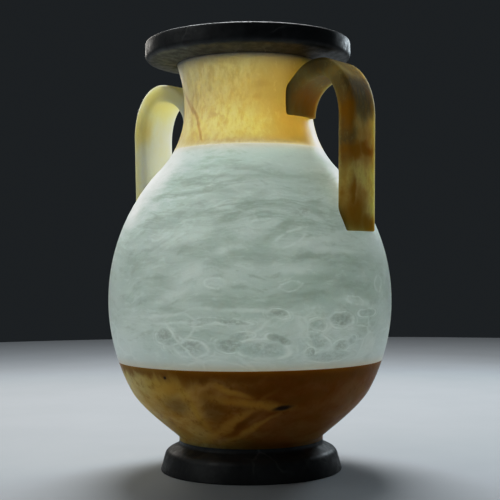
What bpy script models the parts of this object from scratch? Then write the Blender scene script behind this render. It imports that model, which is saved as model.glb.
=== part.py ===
"""Two-handled alabaster vase on a dark stone foot, closed above by a dark stone rim.

Seven stones. The foot, bowl, belly, neck and rim are turned about the Z axis. The two strap handles are
sawn from slabs, stand in the XZ plane and are fitted to the neck and the belly. Lengths are in metres,
+Z is up, and the origin is the centre of the underside.
"""
import math

import bmesh
import bpy

# All turned stones
FACETS = 48                  # facets round each turned stone
GLUE_GAP = 0.0003            # clearance between two stones that meet
WALL = 0.009                 # thickness of the hollow stones, square to their surface

# Foot
FOOT_HEIGHT = 0.0212
FOOT_COLLAR = 0.0028         # upright part under the bowl, as wide as the bowl's own collar
FOOT_COVE = 0.0014           # hollow corner below it
FOOT_SHOULDER = 0.0093       # how far the sloping top runs out past the collar
FOOT_SIDE_HEIGHT = 0.0138    # height of the nearly upright side, below the shoulder
FOOT_SPREAD = 0.0039         # how far the side leans out from its shoulder to the ground
FOOT_SHOULDER_ROUND = 0.0030
FOOT_GROUND_ROUND = 0.0012

# Bowl
BOWL_HEIGHT = 0.0554
COLLAR_RADIUS = 0.0505       # bowl where it stands on the foot
COLLAR_HEIGHT = 0.0016
COLLAR_FILLET = 0.0020
BOWL_FLARE = math.radians(50.0)  # lean of the bowl's lower wall, from upright
BOWL_CONE_HEIGHT = 0.0362    # above the foot, where the lower wall runs into the belly's curve
FLOOR = 0.012                # thickness of the bowl's floor

# Belly
BELLY_HEIGHT = 0.1468
BELLY_RADIUS = 0.0992
WIDEST_RISE = 0.0420         # widest ring, above the bowl
SHOULDER_TURN = 0.676        # share of the rise from widest ring to waist where the curve turns hollow

# Neck
NECK_HEIGHT = 0.0605
WAIST_RADIUS = 0.0451
WAIST_RISE = 0.0301          # waist, above the belly
NECK_FLARE = 0.0049          # how much wider the neck is at its top than at its waist

# Rim
RIM_HEIGHT = 0.0161
RIM_OVERHANG = 0.0223        # past the neck's top
RIM_UNDERCUT = 0.0030        # rise of the sloping underside from the neck to the edge
RIM_EDGE_ROUND = 0.0026      # upper outer edge
RIM_NOSE_ROUND = 0.0038      # lower outer edge
MOUTH_ROUND = 0.0024         # upper edge of the mouth

# Strap handles
HANDLE_WIDTH = 0.0346        # of the long leg
HEAD_WIDTH = 0.0320          # at the neck
HANDLE_THICKNESS = 0.0108    # of the long leg
HANDLE_CROWN = 0.0122        # thickness of the strap at the top of its bend
HANDLE_ROUND = 0.0035        # rounding of the long edges
RIGHT_LEG_PROUD = 0.0014     # outer face past the belly at the leg's end
LEFT_LEG_PROUD = 0.0008      # the same on the other handle, let in a little deeper
LEG_LEAN = 0.0013            # how far the outer face leans out from the leg's end to the bend
LEG_DROP = 0.0588            # leg's end, below the neck's joint
TOE_PROUD = 0.0016           # toe's face past the neck at the toe's end
TOE_RISE = 0.0206            # toe's end, above the neck's joint
CROWN_SETBACK = 0.0250       # crown's middle, inwards from the outer face
OUTER_BEND_HEIGHT = 0.0375   # of the outer curve, above the leg
INNER_BEND_HEIGHT = 0.0278   # of the inner curve, above the leg
HEAD_BEND_HEIGHT = 0.0200    # of the outer curve on the neck's side
HEAD_BEND_ANGLE = math.radians(50.0)  # how much of that curve shows before it runs straight into the neck
HEAD_DROP = 0.0110           # where that straight run meets the neck, below the crown
RIGHT_CROWN_GAP = 0.0039     # crown below the rim's joint
LEFT_CROWN_GAP = 0.0085      # the other handle was set a little lower
INTO_NECK = 0.0060           # how far a handle's blank runs into the neck before it is cut to fit
SLIVER = 0.00001             # corners closer than this are merged after the cut

# Heights of the joints, the widest ring and the waist
FOOT_TOP = FOOT_HEIGHT
BOWL_TOP = FOOT_TOP + BOWL_HEIGHT
BELLY_TOP = BOWL_TOP + BELLY_HEIGHT
NECK_TOP = BELLY_TOP + NECK_HEIGHT
RIM_TOP = NECK_TOP + RIM_HEIGHT
WIDEST = BOWL_TOP + WIDEST_RISE
WAIST = BELLY_TOP + WAIST_RISE

# Two arcs, tangent to each other, run from the widest ring to the waist, and a third one above it
NARROWING = BELLY_RADIUS - WAIST_RADIUS
ARCS = ((WAIST - WIDEST) ** 2 + NARROWING ** 2) / (2 * NARROWING)
BELLY_ARC = SHOULDER_TURN * ARCS
HOLLOW_ARC = ARCS - BELLY_ARC
TURN = WIDEST + SHOULDER_TURN * (WAIST - WIDEST)
FLARE_ARC = ((NECK_TOP - WAIST) ** 2 + NECK_FLARE ** 2) / (2 * NECK_FLARE)

# Foot of the bowl
COLLAR_TOP = FOOT_TOP + COLLAR_HEIGHT
FILLET_TOP = COLLAR_TOP + COLLAR_FILLET * math.sin(BOWL_FLARE)
CONE_TOP = FOOT_TOP + BOWL_CONE_HEIGHT


def belly_curve(height):
    """Radius and slope of the belly's arc at a height."""
    rise = height - WIDEST
    across = math.sqrt(BELLY_ARC ** 2 - rise ** 2)
    return BELLY_RADIUS - BELLY_ARC + across, -rise / across


def bowl_curve(height):
    """Radius of the bowl's lower wall: a cubic that leaves the fillet and joins the belly's arc smoothly."""
    span = CONE_TOP - FILLET_TOP
    low = COLLAR_RADIUS + COLLAR_FILLET * (1 - math.cos(BOWL_FLARE))
    high, high_slope = belly_curve(CONE_TOP)
    t = (height - FILLET_TOP) / span
    return (low * (2 * t ** 3 - 3 * t ** 2 + 1) + high * (3 * t ** 2 - 2 * t ** 3)
            + span * (math.tan(BOWL_FLARE) * (t ** 3 - 2 * t ** 2 + t) + high_slope * (t ** 3 - t ** 2)))


def outer_radius(height):
    """Outer radius of the body, from the foot's top to the neck's top."""
    if height <= COLLAR_TOP:
        return COLLAR_RADIUS
    if height <= FILLET_TOP:
        return COLLAR_RADIUS + COLLAR_FILLET - math.sqrt(COLLAR_FILLET ** 2 - (height - COLLAR_TOP) ** 2)
    if height <= CONE_TOP:
        return bowl_curve(height)
    if height <= TURN:
        return belly_curve(height)[0]
    arc = HOLLOW_ARC if height <= WAIST else FLARE_ARC
    return WAIST_RADIUS + arc - math.sqrt(arc ** 2 - (height - WAIST) ** 2)


def offset_radius(height, offset):
    """Radius at a height of the body's surface moved outwards by an offset, square to itself."""
    step = 1e-5
    slope = (outer_radius(height + step) - outer_radius(height - step)) / (2 * step)
    return outer_radius(height) + offset * math.hypot(1.0, slope)


def spaced(low, high, count):
    """Heights that cut a span into a number of equal steps, both ends included."""
    return [low + (high - low) * i / count for i in range(count + 1)]


def wall_points(heights, offset=0.0):
    """Points of the body's surface, or of one beside it, at the given heights."""
    return [(offset_radius(height, offset), height) for height in heights]


def rounded(before, corner, after, size, count):
    """Points of a rounded corner between two straight runs, starting and ending a size from the corner."""
    def towards(end):
        length = math.dist(corner, end)
        return [c + (e - c) * size / length for c, e in zip(corner, end)]
    start, end = towards(before), towards(after)
    points = []
    for i in range(count + 1):
        t = i / count
        weights = (1 - t) ** 2, 2 * t * (1 - t), t ** 2
        points.append(tuple(sum(w * p[axis] for w, p in zip(weights, (start, corner, end))) for axis in (0, 1)))
    return points


def elliptic(centre, reach, rise, start, end, count):
    """Points along an ellipse, between two angles in degrees."""
    angles = [math.radians(start + (end - start) * i / count) for i in range(count + 1)]
    return [(centre[0] + reach * math.cos(a), centre[1] + rise * math.sin(a)) for a in angles]


# Sawn ends of the handles, and the toe's outer face
LEG_END = BELLY_TOP - LEG_DROP
TOE_END = BELLY_TOP + TOE_RISE
TOE_FACE = outer_radius(TOE_END) + TOE_PROUD


def start_scene():
    """Empties the scene and makes the collections for the vase and for its cutters."""
    for old in list(bpy.data.objects):
        bpy.data.objects.remove(old, do_unlink=True)
    groups = []
    for name in ("alabaster_vase", "cutters"):
        group = bpy.data.collections.new(name)
        bpy.context.scene.collection.children.link(group)
        groups.append(group)
    return groups


def stone(name, colour, roughness):
    """A plain stone material."""
    material = bpy.data.materials.new(name)
    material.use_nodes = True
    shader = material.node_tree.nodes["Principled BSDF"]
    shader.inputs["Base Color"].default_value = (*colour, 1.0)
    shader.inputs["Roughness"].default_value = roughness
    shader.inputs["Metallic"].default_value = 0.0
    return material


def turn(name, profile, material, group, closed=True):
    """A turned stone: a profile that runs down its outer side, swept once round the Z axis."""
    count = len(profile)
    edges = [(i, i + 1) for i in range(count - 1)]
    if closed:
        edges.append((count - 1, 0))
    mesh = bpy.data.meshes.new(name)
    mesh.from_pydata([(radius, 0.0, height) for radius, height in profile], edges, [])
    piece = bpy.data.objects.new(name, mesh)
    group.objects.link(piece)
    screw = piece.modifiers.new("turn", 'SCREW')
    screw.axis = 'Z'
    screw.angle = math.tau
    screw.steps = FACETS
    screw.render_steps = FACETS
    screw.use_merge_vertices = True
    screw.merge_threshold = 0.00001
    screw.use_smooth_shade = True
    if material:
        mesh.materials.append(material)
    return piece


def foot_profile():
    """Foot: flat underside, leaning side, sloping top up to a collar under the bowl."""
    collar = (COLLAR_RADIUS, FOOT_TOP)
    cove = (COLLAR_RADIUS, FOOT_TOP - FOOT_COLLAR)
    shoulder = (COLLAR_RADIUS + FOOT_SHOULDER, FOOT_SIDE_HEIGHT)
    ground = (shoulder[0] + FOOT_SPREAD, 0.0)
    return [
        (0.0, FOOT_TOP),
        collar,
        *rounded(collar, cove, shoulder, FOOT_COVE, 2),
        *rounded(cove, shoulder, ground, FOOT_SHOULDER_ROUND, 3),
        *rounded(shoulder, ground, (0.0, 0.0), FOOT_GROUND_ROUND, 2),
        (0.0, 0.0),
    ]


def bowl_profile():
    """Bowl: closed below by its floor, open above."""
    floor = FOOT_TOP + FLOOR
    inside = wall_points(spaced(floor, BOWL_TOP, 6), -WALL)
    outside = wall_points(reversed(spaced(FILLET_TOP, BOWL_TOP, 9)))
    middle = (COLLAR_TOP + FILLET_TOP) / 2
    base = FOOT_TOP + GLUE_GAP
    return [(0.0, floor), *inside, *outside, (outer_radius(middle), middle),
            (COLLAR_RADIUS, COLLAR_TOP), (COLLAR_RADIUS, base), (0.0, base)]


def belly_profile():
    """Belly: open above and below."""
    base = BOWL_TOP + GLUE_GAP
    outside = wall_points(reversed(spaced(base, BELLY_TOP, 14)))
    return outside + wall_points(spaced(base, BELLY_TOP, 11), -WALL)


def neck_profile():
    """Neck: waisted, open above and below."""
    base = BELLY_TOP + GLUE_GAP
    outside = wall_points(reversed(spaced(base, NECK_TOP, 8)))
    return outside + wall_points(spaced(base, NECK_TOP, 6), -WALL)


def rim_profile():
    """Rim: a ring with a sloping underside, as wide inside as the neck."""
    base = NECK_TOP + GLUE_GAP
    neck = outer_radius(NECK_TOP)
    mouth = offset_radius(NECK_TOP, -WALL)
    edge = (neck + RIM_OVERHANG, RIM_TOP)
    nose = (edge[0], base + RIM_UNDERCUT)
    lip = (mouth, RIM_TOP)
    return [
        *rounded((mouth, base), lip, edge, MOUTH_ROUND, 2),
        *rounded(lip, edge, nose, RIM_EDGE_ROUND, 3),
        *rounded(edge, nose, (neck, base), RIM_NOSE_ROUND, 3),
        (neck, base),
        (mouth, base),
    ]


def body_cutter(group):
    """The body's outside with the glue gap added, which cuts the handles to fit."""
    heights = spaced(BOWL_TOP + GLUE_GAP, BELLY_TOP, 14) + spaced(BELLY_TOP + GLUE_GAP, NECK_TOP, 8)
    heights.reverse()
    profile = [(0.0, heights[0]), *wall_points(heights, GLUE_GAP), (0.0, heights[-1])]
    cutter = turn("body_cutter", profile, None, group, closed=False)
    cutter.hide_render = True
    cutter.display_type = 'WIRE'
    return cutter


def handle_outline(crown_gap, leg_proud):
    """Side view of a handle as (radius, height): long leg, bend, head on the neck, toe, and back inside."""
    reach_low = outer_radius(LEG_END) + leg_proud
    reach = reach_low + LEG_LEAN
    middle = reach - CROWN_SETBACK
    crown = NECK_TOP - crown_gap
    back = math.sqrt(WAIST_RADIUS ** 2 - (HANDLE_WIDTH / 2) ** 2) - INTO_NECK
    under = crown - HANDLE_CROWN
    inside = reach - HANDLE_THICKNESS
    fall = HEAD_BEND_HEIGHT * math.tan(HEAD_BEND_ANGLE)
    length = ((middle - outer_radius(crown - HEAD_DROP)) * fall
              / (HEAD_DROP + HEAD_BEND_HEIGHT * (1 / math.cos(HEAD_BEND_ANGLE) - 1)))
    bend = elliptic((middle, crown - OUTER_BEND_HEIGHT), reach - middle, OUTER_BEND_HEIGHT, 0, 90, 8)
    head = elliptic((middle, crown - HEAD_BEND_HEIGHT), length, HEAD_BEND_HEIGHT,
                    90, 90 + math.degrees(HEAD_BEND_ANGLE), 4)
    into = (back, head[-1][1] - (head[-1][0] - back) * fall / length)
    throat = elliptic((middle, TOE_END), middle - TOE_FACE, under - TOE_END, 180, 90, 6)
    hollow = elliptic((middle, under - INNER_BEND_HEIGHT), inside - middle, INNER_BEND_HEIGHT, 90, 0, 7)
    return [(reach_low, LEG_END), *bend, *head[1:], into, (back, TOE_END), *throat, *hollow[1:],
            (reach_low - HANDLE_THICKNESS, LEG_END)]


def handle(name, crown_gap, leg_proud, heading, cutter, material, group):
    """A strap handle: its side outline as thick as the strap is wide, edges rounded, cut to fit the body."""
    outline = handle_outline(crown_gap, leg_proud)
    curve = bpy.data.curves.new(name + "_outline", 'CURVE')
    curve.dimensions = '2D'
    curve.fill_mode = 'BOTH'
    curve.extrude = HANDLE_WIDTH / 2
    spline = curve.splines.new('POLY')
    spline.points.add(len(outline) - 1)
    for point, (radius, height) in zip(spline.points, outline):
        point.co = (radius, height, 0.0, 1.0)
    spline.use_cyclic_u = True
    slab = bpy.data.objects.new(name + "_slab", curve)
    slab.rotation_euler = (math.pi / 2, 0.0, heading)
    group.objects.link(slab)
    bpy.context.view_layer.update()
    mesh = bpy.data.meshes.new_from_object(slab.evaluated_get(bpy.context.evaluated_depsgraph_get()))
    piece = bpy.data.objects.new(name, mesh)
    piece.matrix_world = slab.matrix_world
    group.objects.link(piece)
    bpy.data.objects.remove(slab, do_unlink=True)
    shape_strap(mesh)
    mesh.materials.clear()
    mesh.materials.append(material)
    fit = piece.modifiers.new("fit to the body", 'BOOLEAN')
    fit.operation = 'DIFFERENCE'
    fit.solver = 'EXACT'
    fit.object = cutter
    weld = piece.modifiers.new("close slivers", 'WELD')
    weld.merge_threshold = SLIVER
    return piece


def shape_strap(mesh):
    """Rounds the edges that run along a strap, not those of its two sawn ends, and narrows it to the neck."""
    tiny = 1e-5
    shape = bmesh.new()
    shape.from_mesh(mesh)
    bmesh.ops.remove_doubles(shape, verts=shape.verts, dist=tiny)
    bmesh.ops.dissolve_limit(shape, angle_limit=math.radians(0.5), verts=shape.verts, edges=shape.edges)
    bmesh.ops.recalc_face_normals(shape, faces=shape.faces)
    long_edges = []
    for edge in shape.edges:
        sides = [abs(face.normal.z) > 0.9 for face in edge.link_faces]
        at_end = any(all(abs(vert.co.y - height) < tiny for vert in edge.verts) for height in (LEG_END, TOE_END))
        if len(sides) == 2 and sides[0] != sides[1] and not at_end:
            long_edges.append(edge)
    bmesh.ops.bevel(shape, geom=long_edges, offset=HANDLE_ROUND, offset_type='OFFSET', segments=3,
                    profile=0.5, affect='EDGES', material=-1)
    leg = outer_radius(LEG_END) - HANDLE_THICKNESS
    for vert in shape.verts:
        share = min(max((leg - vert.co.x) / (leg - TOE_FACE), 0.0), 1.0)
        vert.co.z *= 1 - share * (1 - HEAD_WIDTH / HANDLE_WIDTH)
    shape.to_mesh(mesh)
    shape.free()
    mesh.shade_smooth()
    mesh.set_sharp_from_angle(angle=math.radians(40.0))


def main():
    """Builds the vase."""
    vase, cutters = start_scene()
    dark = stone("dark_stone", (0.022, 0.024, 0.025), 0.45)
    honey = stone("honey_alabaster", (0.62, 0.40, 0.17), 0.38)
    white = stone("white_alabaster", (0.66, 0.70, 0.67), 0.35)
    amber = stone("amber_alabaster", (0.36, 0.17, 0.045), 0.35)
    turn("foot", foot_profile(), dark, vase, closed=False)
    turn("bowl", bowl_profile(), amber, vase, closed=False)
    turn("belly", belly_profile(), white, vase)
    turn("neck", neck_profile(), honey, vase)
    turn("rim", rim_profile(), dark, vase)
    cutter = body_cutter(cutters)
    handle("handle_right", RIGHT_CROWN_GAP, RIGHT_LEG_PROUD, 0.0, cutter, honey, vase)
    handle("handle_left", LEFT_CROWN_GAP, LEFT_LEG_PROUD, math.pi, cutter, honey, vase)


main()
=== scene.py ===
import logging
import math
from collections.abc import Iterable, Iterator, Sequence
from dataclasses import dataclass, replace
from enum import Enum

import bmesh
import bpy
from mathutils import Matrix, Vector


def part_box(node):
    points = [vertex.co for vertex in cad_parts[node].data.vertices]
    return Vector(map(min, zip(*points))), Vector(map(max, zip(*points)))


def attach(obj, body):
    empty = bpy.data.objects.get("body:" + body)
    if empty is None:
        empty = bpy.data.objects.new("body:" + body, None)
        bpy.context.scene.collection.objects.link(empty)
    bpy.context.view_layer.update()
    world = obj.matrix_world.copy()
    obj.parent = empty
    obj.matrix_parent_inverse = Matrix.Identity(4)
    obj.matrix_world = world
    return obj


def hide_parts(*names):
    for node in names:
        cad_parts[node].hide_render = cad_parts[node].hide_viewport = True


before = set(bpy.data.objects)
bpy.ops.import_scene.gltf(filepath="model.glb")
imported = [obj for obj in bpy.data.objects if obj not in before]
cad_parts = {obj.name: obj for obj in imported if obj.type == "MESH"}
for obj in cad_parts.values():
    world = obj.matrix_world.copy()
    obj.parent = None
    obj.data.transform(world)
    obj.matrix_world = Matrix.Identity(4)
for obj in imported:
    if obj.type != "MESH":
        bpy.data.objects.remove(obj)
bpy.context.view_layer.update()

BODY = "root"

log = logging.getLogger("alabaster_vase")

Point = tuple[float, float, float]
Outline = list[tuple[float, float]]
Colour = tuple[float, float, float]
Value = bpy.types.NodeSocket | float | Sequence[float]
Bends = tuple["Bend", ...]
Rows = tuple[tuple[float, float, float, float, float], ...]
StrapRows = tuple[tuple[float, float, float, float], ...]
Strokes = tuple[tuple[float, float, float, float, float], ...]


class Slot(Enum):
    """The record's material slots."""

    DARK = "dark_stone"
    AMBER = "amber_alabaster"
    WHITE = "white_alabaster"
    HONEY = "honey_alabaster"


class Side(Enum):
    """The side of the vase that a handle stands on, as the turn that takes +X there."""

    RIGHT = 0.0
    LEFT = math.pi


def spaced(low: float, high: float, count: int) -> list[float]:
    """Cuts a span into equal steps.

    Args:
        low: The span's start.
        high: The span's end.
        count: How many steps.

    Returns:
        The steps' ends, both ends of the span included.
    """
    return [low + (high - low) * i / count for i in range(count + 1)]


def rounded(before: Sequence[float], corner: Sequence[float], after: Sequence[float], size: float,
            count: int = 6) -> Outline:
    """Rounds a corner between two straight runs.

    Args:
        before: A point on the run that comes in.
        corner: The sharp corner.
        after: A point on the run that goes out.
        size: How far from the corner the rounding starts and ends.
        count: How many steps.

    Returns:
        The rounding's points.
    """
    def towards(end: Sequence[float]) -> tuple[float, ...]:
        """The point a size from the corner on the way to end."""
        length = math.dist(corner, end)
        return tuple(c + (e - c) * size / length for c, e in zip(corner, end))

    ends = towards(before), tuple(corner), towards(after)
    points = []
    for i in range(count + 1):
        t = i / count
        weights = (1 - t) ** 2, 2 * t * (1 - t), t ** 2
        points.append(tuple(sum(w * p[axis] for w, p in zip(weights, ends)) for axis in (0, 1)))
    return points


def elliptic(centre: Sequence[float], reach: float, rise: float, start: float, end: float,
             count: int) -> Outline:
    """Points along an ellipse.

    Args:
        centre: Its centre.
        reach: Its half width.
        rise: Its half height.
        start: The first point's angle in degrees.
        end: The last point's angle in degrees.
        count: How many steps.

    Returns:
        The points, both ends included.
    """
    angles = [math.radians(angle) for angle in spaced(start, end, count)]
    return [(centre[0] + reach * math.cos(a), centre[1] + rise * math.sin(a)) for a in angles]


@dataclass(frozen=True)
class Inclusion:
    """A lens-shaped flaw in the stone: a nodule, a dark grain, a stain or a thin vein."""

    centre: Point
    facing: float
    along: float
    up: float
    tilt: float = 0.0
    through: float = 0.02


@dataclass(frozen=True)
class Viewpoint:
    """The camera's place and lens. Pixels are the photograph's, across and down its 500 x 500 frame."""

    azimuth: float = math.radians(35.2)
    distance: float = 0.7776
    eye_height: float = 0.1429
    roll: float = math.radians(0.5)
    focal_pixels: float = 1100.0
    frame_pixels: float = 500.0
    horizon_below: float = 15.0  # pixels from the frame's middle down to the horizon
    axis_left: float = 0.5  # pixels from the frame's middle left to the vase's axis
    near: float = 0.56  # depths at which a line of sight starts and ends
    far: float = 0.90
    pace: float = 0.00025  # from each point on it to the next

    @property
    def look_up(self) -> float:
        """How far the camera looks up."""
        return math.atan(self.horizon_below / self.focal_pixels)

    def seen_from(self, turn: float, away: float, height: float) -> Point:
        """A place round the vase, counted from the camera.

        Args:
            turn: Degrees round the axis from the camera, anticlockwise from above.
            away: Distance from the axis.
            height: Height over the floor.

        Returns:
            The place.
        """
        angle = self.azimuth + math.radians(turn)
        return away * math.sin(angle), -away * math.cos(angle), height

    def sight(self, across: float, down: float) -> Iterator[Point]:
        """Walks along a pixel's line of sight.

        Args:
            across: The pixel, counted from the frame's left.
            down: The pixel, counted from the frame's top.

        Returns:
            The points on it, from near to far.
        """
        right, below = across - self.frame_pixels / 2 + self.axis_left, down - self.frame_pixels / 2
        aside = (right * math.cos(self.roll) - below * math.sin(self.roll)) / self.focal_pixels
        rise = -(right * math.sin(self.roll) + below * math.cos(self.roll)) / self.focal_pixels
        ahead = math.cos(self.look_up) - rise * math.sin(self.look_up)
        climb = math.sin(self.look_up) + rise * math.cos(self.look_up)
        turned = math.cos(self.azimuth), math.sin(self.azimuth)
        for depth in spaced(self.near, self.far, round((self.far - self.near) / self.pace)):
            x, y = aside * depth, ahead * depth - self.distance
            height = self.eye_height + climb * depth
            yield x * turned[0] - y * turned[1], x * turned[1] + y * turned[0], height


@dataclass(frozen=True)
class BodyCurve:
    """The outline that bowl, belly and neck share.

    The joints' heights and the greatest radius are the frame's.
    """

    foot_top: float = round(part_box("foot")[1].z, 5)
    bowl_top: float = round(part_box("bowl")[1].z, 5)
    belly_top: float = round(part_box("belly")[1].z, 5)
    neck_top: float = round(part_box("neck")[1].z, 5)
    rim_top: float = round(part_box("rim")[1].z, 5)
    belly_radius: float = round(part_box("belly")[1].x, 5)
    collar_radius: float = 0.0505
    collar_height: float = 0.0016
    collar_fillet: float = 0.0020
    flare: float = math.radians(50.0)  # lean of the bowl's lower wall, from upright
    cone_height: float = 0.0362  # above the foot, where the lower wall runs into the belly's arc
    widest_rise: float = 0.0420  # widest ring, above the bowl
    shoulder_turn: float = 0.676  # share of the rise from widest ring to waist where the arc turns hollow
    waist_radius: float = 0.0451
    waist_rise: float = 0.0301  # waist, above the belly
    neck_flare: float = 0.0049  # how much wider the neck is at its top than at its waist
    wall: float = 0.009  # thickness, square to the surface

    @property
    def widest(self) -> float:
        """Height of the widest ring."""
        return self.bowl_top + self.widest_rise

    @property
    def waist(self) -> float:
        """Height of the neck's waist."""
        return self.belly_top + self.waist_rise

    @property
    def arcs(self) -> tuple[float, float, float]:
        """The arcs that make the belly, the hollow under the waist and the flare over it.

        Returns:
            Their radii.
        """
        narrowing = self.belly_radius - self.waist_radius
        both = ((self.waist - self.widest) ** 2 + narrowing ** 2) / (2 * narrowing)
        flaring = ((self.neck_top - self.waist) ** 2 + self.neck_flare ** 2) / (2 * self.neck_flare)
        return self.shoulder_turn * both, (1 - self.shoulder_turn) * both, flaring

    @property
    def fillet_top(self) -> float:
        """Height at which the collar's fillet ends."""
        return self.foot_top + self.collar_height + self.collar_fillet * math.sin(self.flare)

    def _belly(self, height: float) -> tuple[float, float]:
        """The belly's arc.

        Args:
            height: Height over the floor.

        Returns:
            Its radius there, and its slope.
        """
        arc = self.arcs[0]
        rise = height - self.widest
        across = math.sqrt(arc ** 2 - rise ** 2)
        return self.belly_radius - arc + across, -rise / across

    def _bowl(self, height: float) -> float:
        """The bowl's lower wall, a cubic from the fillet to the belly's arc.

        Args:
            height: Height over the floor.

        Returns:
            Its radius there.
        """
        start, end = self.fillet_top, self.foot_top + self.cone_height
        low = self.collar_radius + self.collar_fillet * (1 - math.cos(self.flare))
        high, high_slope = self._belly(end)
        t = (height - start) / (end - start)
        return (low * (2 * t ** 3 - 3 * t ** 2 + 1) + high * (3 * t ** 2 - 2 * t ** 3)
                + (end - start) * (math.tan(self.flare) * (t ** 3 - 2 * t ** 2 + t)
                                   + high_slope * (t ** 3 - t ** 2)))

    def radius(self, height: float) -> float:
        """Outer radius of the body.

        Args:
            height: Height over the floor, from the foot's top to the neck's top.

        Returns:
            The radius there.
        """
        collar_top = self.foot_top + self.collar_height
        if height <= collar_top:
            return self.collar_radius
        if height <= self.fillet_top:
            fillet = self.collar_fillet
            return self.collar_radius + fillet - math.sqrt(fillet ** 2 - (height - collar_top) ** 2)
        if height <= self.foot_top + self.cone_height:
            return self._bowl(height)
        belly_arc, hollow_arc, flare_arc = self.arcs
        if height <= self.widest + self.shoulder_turn * (self.waist - self.widest):
            return self._belly(height)[0]
        arc = hollow_arc if height <= self.waist else flare_arc
        return self.waist_radius + arc - math.sqrt(arc ** 2 - (height - self.waist) ** 2)

    def beside(self, height: float, offset: float = 0.0) -> float:
        """Radius of the surface moved outwards, square to itself.

        Args:
            height: Height over the floor.
            offset: How far outwards.

        Returns:
            The moved surface's radius at that height.
        """
        step = 1e-5
        slope = (self.radius(height + step) - self.radius(height - step)) / (2 * step)
        return self.radius(height) + offset * math.hypot(1.0, slope)

    def wall_line(self, low: float, high: float, count: int, offset: float = 0.0) -> Outline:
        """Points up the body's surface, or up one beside it.

        Args:
            low: First height.
            high: Last height.
            count: How many steps.
            offset: How far outwards the line lies.

        Returns:
            The points from low to high.
        """
        return [(self.beside(height, offset), height) for height in spaced(low, high, count)]

    def spot(self, angle: float, height: float) -> Point:
        """A point on the outer surface.

        Args:
            angle: Degrees round the axis from the right handle; the front is -90.
            height: Height over the floor.

        Returns:
            The point.
        """
        turn = math.radians(angle)
        radius = self.radius(height)
        return radius * math.cos(turn), radius * math.sin(turn), height

    def lenses(self, rows: Rows, through: float = Inclusion.through) -> list[Inclusion]:
        """Flaws that lie in the outer surface.

        Args:
            rows: Angle as spot reads it, height over the floor, reach along, reach up and tilt in degrees.
            through: How far each reaches inwards.

        Returns:
            The flaws.
        """
        return [Inclusion(self.spot(angle, height), angle, along, up, tilt, through)
                for angle, height, along, up, tilt in rows]

    def seen(self, view: Viewpoint, across: float, down: float) -> Point:
        """The point of the outer surface that a pixel of the photograph shows.

        Args:
            view: The camera.
            across: The pixel, counted from the frame's left.
            down: The pixel, counted from the frame's top.

        Returns:
            The point.
        """
        for point in view.sight(across, down):
            x, y, height = point
            if self.foot_top < height < self.neck_top and math.hypot(x, y) <= self.radius(height):
                return point
        raise ValueError(f"pixel {across}, {down} shows no part of the body")

    def drawn(self, strokes: Strokes, view: Viewpoint = Viewpoint()) -> list[Inclusion]:
        """Flaws that lie in the outer surface where the photograph shows them.

        Places and sizes are rounded to a tenth of a degree and of a millimetre, tilts to a degree.

        Args:
            strokes: Middle across and down, half length and half thickness in pixels, and tilt in degrees.
            view: The camera.

        Returns:
            The flaws.
        """
        rows = []
        for across, down, half, thick, tilt in strokes:
            x, y, height = self.seen(view, across, down)
            turn = math.atan2(y, x)
            aside, rise = half * math.cos(math.radians(tilt)), half * math.sin(math.radians(tilt))
            start = self.seen(view, across - aside, down + rise)
            end = self.seen(view, across + aside, down - rise)
            level = (end[1] - start[1]) * math.cos(turn) - (end[0] - start[0]) * math.sin(turn)
            slope = math.degrees(math.atan2(end[2] - start[2], level))
            up = (self.seen(view, across, down - thick)[2] - self.seen(view, across, down + thick)[2]) / 2
            rows.append((round(math.degrees(turn), 1), round(height, 4), round(math.dist(start, end) / 2, 4),
                         round(up, 4), round(slope)))
        return self.lenses(rows)


@dataclass(frozen=True)
class Step:
    """A smooth step over a value: where it begins and ends, and what it leads from and to."""

    low: float
    high: float
    start: float = 0.0
    end: float = 1.0

    def raised(self, by: float) -> "Step":
        """The same step, further up."""
        return replace(self, low=self.low + by, high=self.high + by)


@dataclass(frozen=True)
class Band:
    """A soft line where a value passes a middle: how far it reaches to each side, and how strong it is."""

    middle: float
    half: float
    strength: float = 1.0

    def raised(self, by: float) -> "Band":
        """The same line, further up."""
        return replace(self, middle=self.middle + by)


@dataclass(frozen=True)
class Noise:
    """Cloudy noise, mostly between 0.3 and 0.7: clouds in a metre, finer layers and how strong those are."""

    scale: float
    detail: float = 4.0
    rough: float = 0.5


@dataclass(frozen=True)
class Clouds:
    """Cloudy noise with the step that picks a part of it."""

    noise: Noise
    step: Step


@dataclass(frozen=True)
class Bend:
    """How noise bends a pattern: bends in a metre, how far a point may move, and finer layers."""

    scale: float
    reach: float
    detail: float = 2.0


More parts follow.
